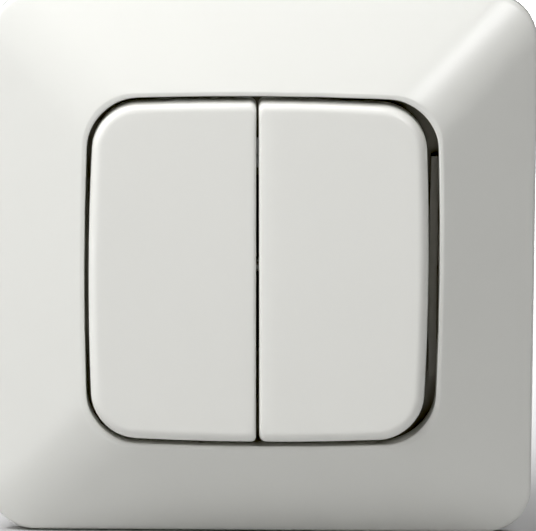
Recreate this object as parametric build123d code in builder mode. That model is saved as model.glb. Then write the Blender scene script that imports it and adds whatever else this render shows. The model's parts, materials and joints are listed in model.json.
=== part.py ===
from build123d import *
from math import atan, cos, pi, radians, sin
import os

os.makedirs("parts", exist_ok=True)

# Sizes in mm. Heights run from the wall plane out into the room, depths run into the wall.

# Cover frame
frame_size = 80.0
frame_corner_r = 6.7
frame_wall = 1.8
edge_height = 3.2
edge_round = 0.8
ridge_height = 9.9
rim_round = 0.9
rim_land = 0.05
crest_corner_r = 4.5
hip_foot_r = 3.7
opening_size = 51.8
opening_corner_r = 7.0
side_bow = 0.65
skirt_wall = 1.4
skirt_end = 5.2
cavity_ledge = 0.3
frame_shift = 0.5
crest_steps = 2
cut_margin = 0.1
weld = 0.2

# Snap hooks of the frame
hook_width = 5.0
hook_thick = 1.2
hook_barb = 0.7
hook_spacing = 22.0
hook_root = 1.0
hook_play = 0.8
hook_clearance = 0.15

# Rockers
rocker_side_gap = 1.15
rocker_end_gap = 0.85
rocker_bow = 0.73
rocker_split = 0.45
rocker_height = 11.0
rocker_wall = 1.6
rocker_skirt = 6.2
rocker_edge_round = 1.5
rocker_split_round = 0.8
rocker_drop = 0.2
rock_half_angle = 2.5
rib_thick = 1.2
rib_depth = 2.6
rib_spacing = 28.0

# Toggles and the pin they rock on
pivot_height = 3.0
pin_r = 1.0
pin_chamfer = 0.2
pin_clearance = 0.05
press_clearance = 0.02
hub_r = 2.5
toggle_width = 11.0
toggle_length = 22.0
toggle_corner_r = 1.5
toggle_plate = 1.8
cheek_thick = 2.2
cheek_inset = 2.0
peg_width = 4.0
peg_thick = 3.0
peg_spacing = 14.0
peg_barb = 0.5
peg_clearance = 0.12
stem_r = 3.0
stem_length = 8.0
bore_r = 2.0
bore_depth = 5.1

# Plungers and their springs
plunger_clearance = 0.08
plunger_shoulder = 6.7
plunger_guide = 2.3
spigot_r = 1.1
spigot_length = 1.5
ball_r = 1.5
ball_depth = 9.6
ball_gap = 0.12
spring_wire_r = 0.25
spring_pitch = 0.85

# Contact levers, rivets and brass strips
lever_half_angle = 7.0
lever_width = 5.0
lever_thick = 1.0
lever_top = 1.2
lever_tail = 7.0
lever_hub = 1.8
contact_arm = 7.2
contact_r = 1.5
contact_height = 0.9
contact_dome = 0.35
contact_shank_r = 0.8
contact_gap = 0.08
fulcrum_r = 0.6
fulcrum_clearance = 0.06
strip_thick = 0.8
strip_width = 5.0
strip_margin = 0.5
stop_gap = 0.1
stop_width = 1.6

# Insert: support plate, cover and base
plate_margin = 2.7
plate_thick = 1.2
plate_corner = 9.0
plate_corner_r = 2.2
plate_window_z = 26.0
plate_window_r = 3.0
plate_window_gap = 0.5
flange_length = 32.8
flange_height = 4.0
flange_bow = 0.2
flange_gap = 0.2
box_screw_spacing = 60.0
box_screw_r = 2.0
box_screw_slot = 6.4
insert_side = 3.05
insert_corner_r = 9.0
cover_thick = 2.5
base_depth = 26.0
rear_wall = 1.8
rear_edge_r = 1.2
lever_room = 4.0
panel_width = 20.0
panel_height = 12.0
panel_depth = 0.4
gauge_length = 11.0
gauge_width = 1.4
ear_thick = 1.4
ear_r = 2.2
ear_foot = 3.5
ear_gap = 0.3
stem_room_x = 1.2
stem_room_z = 3.0
stem_window_r = 1.0

# Terminals
terminal_x = 10.5
chamber_width = 10.6
chamber_in = 11.5
chamber_spare = 1.25
chamber_wall = 2.4
tab_width = 9.0
tab_gap = 0.6
tab_reach = 9.5
wire_hole = 2.8
wire_spacing = 5.4
wire_funnel = 0.7
funnel_taper = 26.0
entry_web = 0.95
clamp_strip = 0.4
clamp_width = 9.2
clamp_bend_r = 0.9
clamp_lean = 6.8
release_width = 3.6
release_thick = 1.4
release_shoulder = 0.8
release_shoulder_height = 1.2
release_chamfer = 0.25
release_proud = 0.4
release_clearance = 0.15
release_gap = 0.35

# Fasteners and claws
screw_r = 1.2
screw_head_r = 2.2
screw_head = 1.2
screw_length = 13.0
screw_slot = 0.6
screw_slot_turn = 35.0
screw_x = 12.0
screw_z = 16.5
screw_spare = 1.0
claw_screw_r = 1.25
claw_head_r = 2.0
claw_head = 1.5
claw_z = 5.0
claw_width = 7.0
claw_thick = 1.2
claw_depth = 17.0
claw_bead_r = 0.8
claw_play = 0.2
claw_tooth = 1.1
claw_tooth_pitch = 2.4
claw_channel = 12.0
claw_nut = 5.0
claw_nut_height = 2.2
claw_nut_gap = 0.7

# Values that follow from the sizes above
slope = (ridge_height - edge_height) / ((frame_size - opening_size) / 2)
slope_angle = atan(slope)
slope_normal = pi / 2 - slope_angle
wall_drop = frame_wall / cos(slope_angle)
pair_width = opening_size - 2 * rocker_side_gap
pair_height = opening_size - 2 * rocker_end_gap
rocker_corner_r = opening_corner_r - rocker_end_gap
toggle_x = (pair_width + rocker_split) / 4
face_u = rocker_height - pivot_height
seat_u = face_u - rocker_wall
hook_out = opening_size / 2 + skirt_wall - hook_clearance
lever_height = pivot_height - ball_depth - ball_r - ball_gap - lever_top
lever_under = lever_top - lever_thick
swing_sin = sin(radians(lever_half_angle))
swing_cos = cos(radians(lever_half_angle))
contact_tip = lever_under - contact_height
dome_r = (contact_r ** 2 + contact_dome ** 2) / (2 * contact_dome)
dome_centre = contact_tip + dome_r
fixed_z = contact_arm * swing_cos + dome_centre * swing_sin
fixed_top = lever_height - contact_arm * swing_sin + dome_centre * swing_cos - dome_r - contact_gap
strip_top = fixed_top - contact_height
strip_floor = strip_top - strip_thick
ear_x = (toggle_width + ear_thick) / 2 + ear_gap
pin_half = toggle_x + ear_x + ear_thick / 2
plate_size = frame_size - 2 * frame_wall - 2 * plate_margin
insert_width = 2 * (pin_half + insert_side)
claw_x = insert_width / 2
channel_in = claw_x - claw_nut / 2 - claw_play
tab_z = chamber_in + tab_gap
plate_back = 0.0
cover_back = plate_back - cover_thick
rear_inside = -base_depth + rear_wall
tab_face = tab_z + strip_thick
wire_z = tab_face + wire_hole / 2
release_z = tab_face + wire_hole + entry_web + release_clearance + release_thick / 2
chamber_out = release_z + release_thick / 2 + release_clearance + chamber_spare
insert_height = 2 * (chamber_out + chamber_wall)
claw_bead_h = plate_back - claw_bead_r - claw_play
claw_leg_x = claw_x + claw_screw_r + claw_play + claw_thick / 2
terminals = {"common": (0, -1), "left": (-terminal_x, 1), "right": (terminal_x, 1)}
screw_places = [(0, 1), (-1, -1), (1, -1)]
sides = {"left": -1, "right": 1}


def front_plane(x, height):
    # A plane parallel to the wall, seen from the room
    return Plane(origin=(x, -height, 0), x_dir=(1, 0, 0), z_dir=(0, -1, 0))


def side_plane(face_plane):
    # Turned edge on: across is up the wall, up is out of the wall
    return Plane(origin=face_plane.origin, x_dir=face_plane.y_dir, z_dir=face_plane.x_dir)


def rocker_plane(x):
    # Level with the pin, tilted as the rockers rest, with the upper end pressed in
    return front_plane(x, pivot_height).rotated((-rock_half_angle, 0, 0))


def lever_plane(x):
    return front_plane(x, lever_height).rotated((lever_half_angle, 0, 0))


def bowed_face(width, height, corner_r, bow):
    # A rounded rectangle whose sides bow outwards
    x = width / 2 - bow
    y = height / 2 - bow
    with BuildSketch(mode=Mode.PRIVATE) as outline:
        with BuildLine():
            if bow > 0:
                ThreePointArc((-x, -y), (0, -height / 2), (x, -y))
                ThreePointArc((x, -y), (width / 2, 0), (x, y))
                ThreePointArc((x, y), (0, height / 2), (-x, y))
                ThreePointArc((-x, y), (-width / 2, 0), (-x, -y))
            else:
                Polyline((-x, -y), (x, -y), (x, y), (-x, y), close=True)
        make_face()
        fillet(outline.vertices(), corner_r)
    return outline.sketch


def frame_face(inset):
    size = frame_size - 2 * inset
    return bowed_face(size, size, frame_corner_r - inset, 0)


def opening_face(grow):
    size = opening_size + 2 * grow
    return bowed_face(size, size, opening_corner_r + grow, side_bow)


def skin_face(half):
    # Straight sides at the outer edge turn into the bowed sides of the opening
    run = (half - opening_size / 2) / (frame_size / 2 - opening_size / 2)
    corner_r = crest_corner_r + (hip_foot_r - crest_corner_r) * run
    return bowed_face(2 * half, 2 * half, corner_r, side_bow * (1 - run))


# Hollow behind the slopes of the frame, clear of the skirt round the opening
cavity_edge = edge_height + slope * frame_wall - wall_drop
cavity_top = ridge_height - slope * (skirt_wall + cavity_ledge) - wall_drop
with BuildPart() as frame_cavity:
    with BuildSketch(front_plane(frame_shift, 0)):
        add(frame_face(frame_wall))
    extrude(amount=cavity_edge)
    with BuildSketch(front_plane(frame_shift, cavity_edge)):
        add(frame_face(frame_wall))
    with BuildSketch(front_plane(frame_shift, cavity_top)):
        add(opening_face(skirt_wall + cavity_ledge))
    loft()
    with BuildSketch(front_plane(frame_shift, 0)):
        add(opening_face(skirt_wall))
    extrude(amount=ridge_height, mode=Mode.SUBTRACT)

# Section of the frame's crest as half widths and heights
rim_x = opening_size / 2 + rim_round
rim_h = ridge_height - slope * rim_round - rim_round / cos(slope_angle)
crest_turns = [slope_normal + slope_angle * step / crest_steps for step in range(crest_steps + 1)]
crest_arc = [(rim_x + rim_round * cos(a), rim_h + rim_round * sin(a)) for a in crest_turns]

with BuildPart() as cover_frame:
    # Low edge band, four slopes that meet in tight hips, and the crest of the rim
    with BuildSketch(front_plane(frame_shift, 0)):
        add(skin_face(frame_size / 2))
    extrude(amount=edge_height)
    for stretch in ([(frame_size / 2, edge_height), crest_arc[0]], crest_arc):
        for half, height in stretch:
            with BuildSketch(front_plane(frame_shift, height)):
                add(skin_face(half))
        loft()
    # Rounder corners in plan than the hips have, then a rounded outer edge
    with BuildSketch(front_plane(frame_shift, 0)):
        add(frame_face(0))
    extrude(amount=ridge_height, mode=Mode.INTERSECT)
    outer_edges = [
        edge
        for edge in cover_frame.edges()
        if all(edge_height / 2 < -point.Y < ridge_height / 2 for point in edge.vertices())
    ]
    fillet(outer_edges, edge_round)
    # Opening with its rounded lip
    with BuildSketch(front_plane(frame_shift, 0)):
        add(opening_face(0))
    extrude(amount=ridge_height, mode=Mode.SUBTRACT)
    crest_face = cover_frame.faces().sort_by(Axis.Y)[0]
    fillet(crest_face.inner_wires()[0].edges(), rim_round - rim_land)
    add(frame_cavity.part, mode=Mode.SUBTRACT)
    # The skirt round the opening ends short of the support plate
    with BuildSketch(front_plane(frame_shift, 0)):
        add(opening_face(skirt_wall + cut_margin))
    extrude(amount=skirt_end, mode=Mode.SUBTRACT)
    # Snap hooks through the support plate, above and below the opening
    barb_top = plate_back - hook_clearance
    for hook_x in (-hook_spacing / 2, hook_spacing / 2):
        for end in (-1, 1):
            with BuildSketch(side_plane(front_plane(frame_shift + hook_x, 0))):
                with BuildLine():
                    Polyline(
                        (end * (hook_out - hook_thick), skirt_end + hook_root),
                        (end * hook_out, skirt_end + hook_root),
                        (end * hook_out, barb_top),
                        (end * (hook_out + hook_barb), barb_top),
                        (end * hook_out, barb_top - 2 * hook_barb),
                        (end * (hook_out - hook_thick), barb_top - 2 * hook_barb),
                        close=True,
                    )
                make_face()
            extrude(amount=hook_width / 2, both=True)
cover_frame.part.label = "cover_frame"
export_step(cover_frame.part, "parts/cover_frame.step")


def make_rocker(side):
    face_plane = rocker_plane(0)
    cap_bottom = face_u - rocker_skirt
    with BuildPart() as rocker:
        # The pair as one cap with rounded edges, then the half on this side of the split
        with BuildSketch(face_plane.offset(cap_bottom)):
            with Locations((0, -rocker_drop)):
                add(bowed_face(pair_width, pair_height, rocker_corner_r, rocker_bow))
        extrude(amount=rocker_skirt)
        fillet(rocker.faces().sort_by(Axis.Y)[0].edges(), rocker_edge_round)
        with BuildSketch(face_plane):
            with Locations((side * (rocker_split + pair_width) / 2, 0)):
                Rectangle(pair_width, 2 * pair_height)
        extrude(amount=2 * face_u, mode=Mode.INTERSECT)
        split_face = rocker.faces().filter_by(Axis.X).sort_by(Axis.X)[0 if side > 0 else -1]
        split_edges = split_face.edges().sort_by(Axis.Y)[:-1]
        fillet(split_edges, rocker_split_round)
        # Hollow below the face
        with BuildSketch(face_plane.offset(cap_bottom)):
            with Locations((0, -rocker_drop)):
                add(
                    bowed_face(
                        pair_width - 2 * rocker_wall,
                        pair_height - 2 * rocker_wall,
                        rocker_corner_r - rocker_wall,
                        rocker_bow,
                    )
                )
            with Locations((side * (rocker_split / 2 + rocker_wall + pair_width / 2), 0)):
                Rectangle(pair_width, 2 * pair_height, mode=Mode.INTERSECT)
        extrude(amount=rocker_skirt - rocker_wall, mode=Mode.SUBTRACT)
        # A rib across each end
        with BuildSketch(face_plane.offset(seat_u)):
            with Locations((side * toggle_x, 0)):
                with GridLocations(0, rib_spacing, 1, 2):
                    Rectangle(pair_width / 2 - 2 * rocker_wall, rib_thick)
        extrude(amount=-rib_depth)
        # Pegs that snap into the toggle
        for end in (-1, 1):
            root = end * (peg_spacing - peg_thick) / 2
            tip = end * (peg_spacing + peg_thick) / 2
            grip = seat_u - toggle_plate - peg_clearance
            with BuildSketch(side_plane(rocker_plane(side * toggle_x))):
                with BuildLine():
                    Polyline(
                        (root, seat_u + weld),
                        (tip, seat_u + weld),
                        (tip, grip),
                        (tip + end * peg_barb, grip),
                        (tip, grip - 2 * peg_barb),
                        (root, grip - 2 * peg_barb),
                        close=True,
                    )
                make_face()
            extrude(amount=peg_width / 2, both=True)
    return rocker.part


rocker_left = make_rocker(-1)
rocker_left.label = "rocker_left"
export_step(rocker_left, "parts/rocker_left.step")
rocker_right = make_rocker(1)
rocker_right.label = "rocker_right"
export_step(rocker_right, "parts/rocker_right.step")


def make_toggle(side):
    face_plane = rocker_plane(side * toggle_x)
    plate_u = seat_u - toggle_plate
    with BuildPart() as toggle:
        # Seat plate with the sockets of the rocker's pegs
        with BuildSketch(face_plane.offset(plate_u)):
            RectangleRounded(toggle_width, toggle_length, toggle_corner_r)
            with GridLocations(0, peg_spacing, 1, 2):
                Rectangle(
                    peg_width + 2 * peg_clearance,
                    peg_thick + 2 * peg_clearance,
                    mode=Mode.SUBTRACT,
                )
        extrude(amount=toggle_plate)
        # A cheek at each side runs down to the hub
        for cheek in (-1, 1):
            cheek_x = side * toggle_x + cheek * (toggle_width - cheek_thick) / 2
            with BuildSketch(side_plane(rocker_plane(cheek_x))):
                Circle(hub_r)
                with BuildLine():
                    Polyline(
                        (-hub_r, 0),
                        (hub_r, 0),
                        (toggle_length / 2 - cheek_inset, plate_u + weld),
                        (cheek_inset - toggle_length / 2, plate_u + weld),
                        close=True,
                    )
                make_face()
            extrude(amount=cheek_thick / 2, both=True)
        # Barrel of the plunger
        with BuildSketch(face_plane.offset(-stem_length)):
            Circle(stem_r)
        extrude(amount=stem_length + plate_u)
        with BuildSketch(face_plane.offset(-stem_length)):
            Circle(bore_r)
        extrude(amount=bore_depth, mode=Mode.SUBTRACT)
        with BuildSketch(side_plane(face_plane)):
            Circle(pin_r + pin_clearance)
        extrude(amount=toggle_width, both=True, mode=Mode.SUBTRACT)
    return toggle.part


toggle_left = make_toggle(-1)
toggle_left.label = "toggle_left"
export_step(toggle_left, "parts/toggle_left.step")
toggle_right = make_toggle(1)
toggle_right.label = "toggle_right"
export_step(toggle_right, "parts/toggle_right.step")


def make_plunger(side):
    # A guide that runs in the barrel, a spigot inside the spring and a ball tip on the lever
    section = side_plane(rocker_plane(side * toggle_x))
    guide_r = bore_r - plunger_clearance
    guide_end = -plunger_shoulder - plunger_guide
    with BuildPart() as plunger:
        with BuildSketch(section):
            with BuildLine():
                Polyline(
                    (0, -ball_depth - ball_r),
                    (0, spigot_length - plunger_shoulder),
                    (spigot_r, spigot_length - plunger_shoulder),
                    (spigot_r, -plunger_shoulder),
                    (guide_r, -plunger_shoulder),
                    (guide_r, guide_end),
                    (ball_r, guide_end),
                    (ball_r, -ball_depth),
                )
                RadiusArc((ball_r, -ball_depth), (0, -ball_depth - ball_r), ball_r)
            make_face()
        revolve(axis=Axis(section.origin, section.y_dir))
    return plunger.part


plunger_left = make_plunger(-1)
plunger_left.label = "plunger_left"
export_step(plunger_left, "parts/plunger_left.step")
plunger_right = make_plunger(1)
plunger_right.label = "plunger_right"
export_step(plunger_right, "parts/plunger_right.step")


def make_plunger_spring(side):
    face_plane = rocker_plane(side * toggle_x)
    foot = face_plane.offset(spring_wire_r + press_clearance - plunger_shoulder)
    coil_height = plunger_shoulder - (stem_length - bore_depth) - 2 * (spring_wire_r + press_clearance)
    coil_r = (bore_r + spigot_r) / 2
    with BuildPart() as spring:
        with BuildLine() as coil:
            Helix(spring_pitch, coil_height, coil_r, center=foot.origin, direction=foot.z_dir)
        with BuildSketch(Plane(origin=coil.line @ 0, z_dir=coil.line % 0)):
            Circle(spring_wire_r)
        sweep()
    return spring.part


plunger_spring_left = make_plunger_spring(-1)
plunger_spring_left.label = "plunger_spring_left"
export_step(plunger_spring_left, "parts/plunger_spring_left.step")
plunger_spring_right = make_plunger_spring(1)
plunger_spring_right.label = "plunger_spring_right"
export_step(plunger_spring_right, "parts/plunger_spring_right.step")

# Pin through both toggles and the four ears of the cover
with BuildPart() as pivot_pin:
    with BuildSketch(side_plane(front_plane(0, pivot_height))):
        Circle(pin_r)
    extrude(amount=pin_half, both=True)
    chamfer(pivot_pin.edges(), pin_chamfer)
pivot_pin.part.label = "pivot_pin"
export_step(pivot_pin.part, "parts/pivot_pin.step")


def make_lever(side):
    # A flat see-saw with a groove that sits on the knife edge of the common bar
    face_plane = lever_plane(side * toggle_x)
    with BuildPart() as lever:
        with BuildSketch(side_plane(face_plane)):
            with BuildLine():
                Polyline(
                    (-lever_tail, lever_under),
                    (-lever_hub, lever_under),
                    (-lever_hub, 0),
                    (lever_hub, 0),
                    (lever_hub, lever_under),
                    (contact_arm + contact_r, lever_under),
                    (contact_arm + contact_r, lever_top),
                    (-lever_tail, lever_top),
                    close=True,
                )
            make_face()
            Circle(fulcrum_r + fulcrum_clearance, mode=Mode.SUBTRACT)
        extrude(amount=lever_width / 2, both=True)
        with BuildSketch(face_plane):
            with Locations((0, contact_arm)):
                Circle(contact_shank_r)
        extrude(amount=lever_top, mode=Mode.SUBTRACT)
    return lever.part


contact_lever_left = make_lever(-1)
contact_lever_left.label = "contact_lever_left"
export_step(contact_lever_left, "parts/contact_lever_left.step")
contact_lever_right = make_lever(1)
contact_lever_right.label = "contact_lever_right"
export_step(contact_lever_right, "parts/contact_lever_right.step")


def make_rivet(section, shank):
    # Domed head below the line, shank above it, drawn in the section and turned round its axis
    shank_r = contact_shank_r - press_clearance
    with BuildPart() as rivet:
        with BuildSketch(section):
            with BuildLine():
                Polyline(
                    (0, -contact_height),
                    (0, shank),
                    (shank_r, shank),
                    (shank_r, 0),
                    (contact_r, 0),
                    (contact_r, contact_dome - contact_height),
                )
                RadiusArc((contact_r, contact_dome - contact_height), (0, -contact_height), dome_r)
            make_face()
        revolve(axis=Axis(section.origin, section.y_dir))
    return rivet.part


def moving_section(side):
    seat = lever_plane(side * toggle_x).shift_origin(
        lever_plane(side * toggle_x).from_local_coords((0, contact_arm, 0))
    )
    return side_plane(seat.offset(lever_under))


moving_contact_left = make_rivet(moving_section(-1), lever_thick)
moving_contact_left.label = "moving_contact_left"
export_step(moving_contact_left, "parts/moving_contact_left.step")
moving_contact_right = make_rivet(moving_section(1), lever_thick)
moving_contact_right.label = "moving_contact_right"
export_step(moving_contact_right, "parts/moving_contact_right.step")


def fixed_section(side):
    # Head towards the room, so the section is turned over
    return Plane(origin=(side * toggle_x, -strip_top, fixed_z), x_dir=(0, 0, 1), z_dir=(-1, 0, 0))


fixed_rivet_left = make_rivet(fixed_section(-1), strip_thick)
fixed_rivet_left.label = "fixed_rivet_left"
export_step(fixed_rivet_left, "parts/fixed_rivet_left.step")
fixed_rivet_right = make_rivet(fixed_section(1), strip_thick)
fixed_rivet_right.label = "fixed_rivet_right"
export_step(fixed_rivet_right, "parts/fixed_rivet_right.step")


def make_fixed_contact(side):
    strip_start = fixed_z - contact_r - strip_margin
    with BuildPart() as contact:
        # Strip under the rivet, then the tab that the wires are pressed on
        with BuildSketch(front_plane(0, strip_floor)):
            with Locations((side * toggle_x, (strip_start + tab_face) / 2)):
                Rectangle(strip_width, tab_face - strip_start)
            with Locations((side * toggle_x, fixed_z)):
                Circle(contact_shank_r, mode=Mode.SUBTRACT)
        extrude(amount=strip_thick)
        with BuildSketch(front_plane(0, strip_top)):
            with Locations((side * terminal_x, tab_z + strip_thick / 2)):
                Rectangle(tab_width, strip_thick)
        extrude(amount=-tab_reach)
    return contact.part


fixed_contact_left = make_fixed_contact(-1)
fixed_contact_left.label = "fixed_contact_left"
export_step(fixed_contact_left, "parts/fixed_contact_left.step")
fixed_contact_right = make_fixed_contact(1)
fixed_contact_right.label = "fixed_contact_right"
export_step(fixed_contact_right, "parts/fixed_contact_right.step")

with BuildPart() as common_bar:
    # Bar below both levers, with a leg to the common terminal
    with BuildSketch(front_plane(0, strip_floor)):
        Rectangle(2 * (toggle_x + strip_margin) + lever_width, strip_width)
        with Locations((0, -tab_face / 2)):
            Rectangle(strip_width, tab_face)
    extrude(amount=strip_thick)
    with BuildSketch(front_plane(0, strip_top)):
        with Locations((0, -tab_z - strip_thick / 2)):
            Rectangle(tab_width, strip_thick)
    extrude(amount=-tab_reach)
    # Knife edges that the levers rock on
    for side in sides.values():
        with BuildSketch(side_plane(front_plane(side * toggle_x, 0))):
            with Locations((0, lever_height)):
                Circle(fulcrum_r)
            with Locations((0, (strip_floor + lever_height) / 2)):
                Rectangle(2 * fulcrum_r, lever_height - strip_floor)
        extrude(amount=lever_width / 2, both=True)
common_bar.part.label = "common_bar"
export_step(common_bar.part, "parts/common_bar.step")


def make_clamp_spring(name):
    # A hairpin leaf: one leg on the chamber wall, the other leans on the terminal tab
    x, end = terminals[name]
    leg_z = chamber_out - clamp_strip
    tip_z = tab_face + clamp_strip
    with BuildPart() as spring:
        with BuildSketch(side_plane(front_plane(x, 0))):
            with BuildLine():
                FilletPolyline(
                    (end * leg_z, strip_top - tab_reach),
                    (end * leg_z, strip_top),
                    (end * tip_z, strip_top - clamp_lean),
                    radius=clamp_bend_r,
                )
            trace(line_width=clamp_strip)
        extrude(amount=clamp_width / 2, both=True)
    return spring.part


clamp_spring_common = make_clamp_spring("common")
clamp_spring_common.label = "clamp_spring_common"
export_step(clamp_spring_common, "parts/clamp_spring_common.step")
clamp_spring_left = make_clamp_spring("left")
clamp_spring_left.label = "clamp_spring_left"
export_step(clamp_spring_left, "parts/clamp_spring_left.step")
clamp_spring_right = make_clamp_spring("right")
clamp_spring_right.label = "clamp_spring_right"
export_step(clamp_spring_right, "parts/clamp_spring_right.step")

# Where a release lever's tip meets the leaning leg of its clamp spring
leg_run = chamber_out - 2 * clamp_strip - tab_face
tip_reach = (chamber_out - clamp_strip - (release_z - release_thick / 2)) / leg_run
release_tip = strip_top - tip_reach * clamp_lean - clamp_strip - release_gap


def make_release_lever(name):
    x, end = terminals[name]
    with BuildPart() as lever:
        with BuildSketch(front_plane(x, -base_depth - release_proud)):
            with Locations((0, end * release_z)):
                Rectangle(release_width, release_thick)
        extrude(amount=release_tip + base_depth + release_proud)
        # Shoulder that keeps it in the housing
        with BuildSketch(front_plane(x, rear_inside + release_clearance)):
            with Locations((0, end * release_z)):
                Rectangle(release_width + 2 * release_shoulder, release_thick)
        extrude(amount=release_shoulder_height)
        pressed_face = lever.faces().sort_by(Axis.Y)[-1]
        chamfer(pressed_face.edges(), release_chamfer)
    return lever.part


release_lever_common = make_release_lever("common")
release_lever_common.label = "release_lever_common"
export_step(release_lever_common, "parts/release_lever_common.step")
release_lever_left = make_release_lever("left")
release_lever_left.label = "release_lever_left"
export_step(release_lever_left, "parts/release_lever_left.step")
release_lever_right = make_release_lever("right")
release_lever_right.label = "release_lever_right"
export_step(release_lever_right, "parts/release_lever_right.step")

with BuildPart() as housing_cover:
    with BuildSketch(front_plane(0, cover_back)):
        RectangleRounded(insert_width, insert_height, insert_corner_r)
        # Windows for the barrels, holes for the screws, channels for the claws
        with GridLocations(2 * toggle_x, 0, 2, 1):
            RectangleRounded(
                2 * (stem_r + stem_room_x),
                2 * (stem_r + stem_room_z),
                stem_window_r,
                mode=Mode.SUBTRACT,
            )
        with Locations(*[(sx * screw_x, sz * screw_z) for sx, sz in screw_places]):
            Circle(screw_r + press_clearance, mode=Mode.SUBTRACT)
        for side in sides.values():
            with Locations((side * (channel_in + insert_width / 2), side * claw_z)):
                Rectangle(insert_width, claw_channel, mode=Mode.SUBTRACT)
    extrude(amount=cover_thick)
    # Ears with the bearings of the pin
    for side in sides.values():
        for ear in (-1, 1):
            with BuildSketch(side_plane(front_plane(side * toggle_x + ear * ear_x, 0))):
                with Locations((0, pivot_height)):
                    Circle(ear_r)
                with BuildLine():
                    Polyline(
                        (-ear_foot, plate_back - weld),
                        (ear_foot, plate_back - weld),
                        (ear_r, pivot_height),
                        (-ear_r, pivot_height),
                        close=True,
                    )
                make_face()
                with Locations((0, pivot_height)):
                    Circle(pin_r + press_clearance, mode=Mode.SUBTRACT)
            extrude(amount=ear_thick / 2, both=True)
housing_cover.part.label = "housing_cover"
export_step(housing_cover.part, "parts/housing_cover.step")

with BuildPart() as base_housing:
    with BuildSketch(front_plane(0, -base_depth)):
        RectangleRounded(insert_width, insert_height, insert_corner_r)
        for side in sides.values():
            with Locations((side * (channel_in + insert_width / 2), side * claw_z)):
                Rectangle(insert_width, claw_channel, mode=Mode.SUBTRACT)
    extrude(amount=base_depth + cover_back)
    fillet(base_housing.faces().sort_by(Axis.Y)[-1].edges(), rear_edge_r)
    # Pocket of the contact levers
    with BuildSketch(front_plane(0, strip_floor)):
        Rectangle(2 * (toggle_x + lever_room) + lever_width, 2 * chamber_in)
    extrude(amount=cover_back - strip_floor, mode=Mode.SUBTRACT)
    # Terminal chambers, open to the cover
    with BuildSketch(front_plane(0, rear_inside)):
        for x, end in terminals.values():
            with Locations((x, end * (chamber_in + chamber_out) / 2)):
                Rectangle(chamber_width, chamber_out - chamber_in)
    extrude(amount=cover_back - rear_inside, mode=Mode.SUBTRACT)
    # Shallow panel and strip length gauge in the rear wall
    with BuildSketch(front_plane(0, -base_depth)):
        RectangleRounded(panel_width, panel_height, stem_window_r)
        with Locations((0, wire_z)):
            SlotOverall(gauge_length, gauge_width)
    extrude(amount=panel_depth, mode=Mode.SUBTRACT)
    # Wire entries with funnels, and windows of the release levers
    with BuildSketch(front_plane(0, -base_depth)):
        for x, end in terminals.values():
            with Locations((x, end * wire_z)):
                with GridLocations(wire_spacing, 0, 2, 1):
                    Rectangle(wire_hole, wire_hole)
            with Locations((x, end * release_z)):
                Rectangle(
                    release_width + 2 * release_clearance,
                    release_thick + 2 * release_clearance,
                )
    extrude(amount=rear_wall, mode=Mode.SUBTRACT)
    for x, end in terminals.values():
        for entry in (-1, 1):
            with BuildSketch(front_plane(x + entry * wire_spacing / 2, -base_depth)):
                with Locations((0, end * wire_z)):
                    Rectangle(wire_hole + wire_funnel, wire_hole + wire_funnel)
            extrude(amount=wire_funnel, taper=funnel_taper, mode=Mode.SUBTRACT)
    # Screw holes, and a stop below the tail of each lever
    with BuildSketch(front_plane(0, cover_back)):
        with Locations(*[(sx * screw_x, sz * screw_z) for sx, sz in screw_places]):
            Circle(screw_r + press_clearance)
    extrude(amount=cover_thick + plate_thick - screw_length - screw_spare, mode=Mode.SUBTRACT)
    stop_top = lever_height - lever_tail * swing_sin + lever_under * swing_cos - stop_gap
    with BuildSketch(front_plane(0, strip_floor)):
        with Locations((-toggle_x, -lever_tail), (toggle_x, -lever_tail)):
            Rectangle(lever_width, stop_width)
    extrude(amount=stop_top - strip_floor)
base_housing.part.label = "base_housing"
export_step(base_housing.part, "parts/base_housing.step")

with BuildPart() as support_plate:
    with BuildSketch(front_plane(0, plate_back)) as plate_outline:
        Rectangle(plate_size, plate_size)
        chamfer(plate_outline.vertices(), plate_corner)
        fillet(plate_outline.vertices(), plate_corner_r)
        RectangleRounded(
            2 * (pin_half + plate_window_gap),
            plate_window_z,
            plate_window_r,
            mode=Mode.SUBTRACT,
        )
        # Slots for the screws of the wall box, pointing to the centre
        with GridLocations(box_screw_spacing, 0, 2, 1):
            SlotOverall(box_screw_slot, 2 * box_screw_r, mode=Mode.SUBTRACT)
        with GridLocations(0, box_screw_spacing, 1, 2):
            SlotOverall(box_screw_slot, 2 * box_screw_r, rotation=90, mode=Mode.SUBTRACT)
        # Slots for the hooks of the frame
        slot_in = hook_out - hook_thick - 2 * hook_clearance
        slot_out = hook_out + hook_clearance
        with GridLocations(hook_spacing, slot_in + slot_out, 2, 2):
            Rectangle(hook_width + 2 * hook_play, slot_out - slot_in, mode=Mode.SUBTRACT)
        with Locations(*[(sx * screw_x, sz * screw_z) for sx, sz in screw_places]):
            Circle(screw_r + press_clearance, mode=Mode.SUBTRACT)
        with Locations((-claw_x, -claw_z), (claw_x, claw_z)):
            Circle(claw_screw_r + press_clearance, mode=Mode.SUBTRACT)
    extrude(amount=plate_thick)
    # A flange bent up along each side, bowed towards the rockers
    flange_mid = claw_x + claw_head_r + flange_gap + plate_thick / 2
    for side in sides.values():
        with BuildSketch(front_plane(0, plate_back)):
            with BuildLine():
                ThreePointArc(
                    (side * (flange_mid + flange_bow), flange_length / 2),
                    (side * flange_mid, 0),
                    (side * (flange_mid + flange_bow), -flange_length / 2),
                )
            trace(line_width=plate_thick)
        extrude(amount=flange_height)
support_plate.part.label = "support_plate"
export_step(support_plate.part, "parts/support_plate.step")


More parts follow.
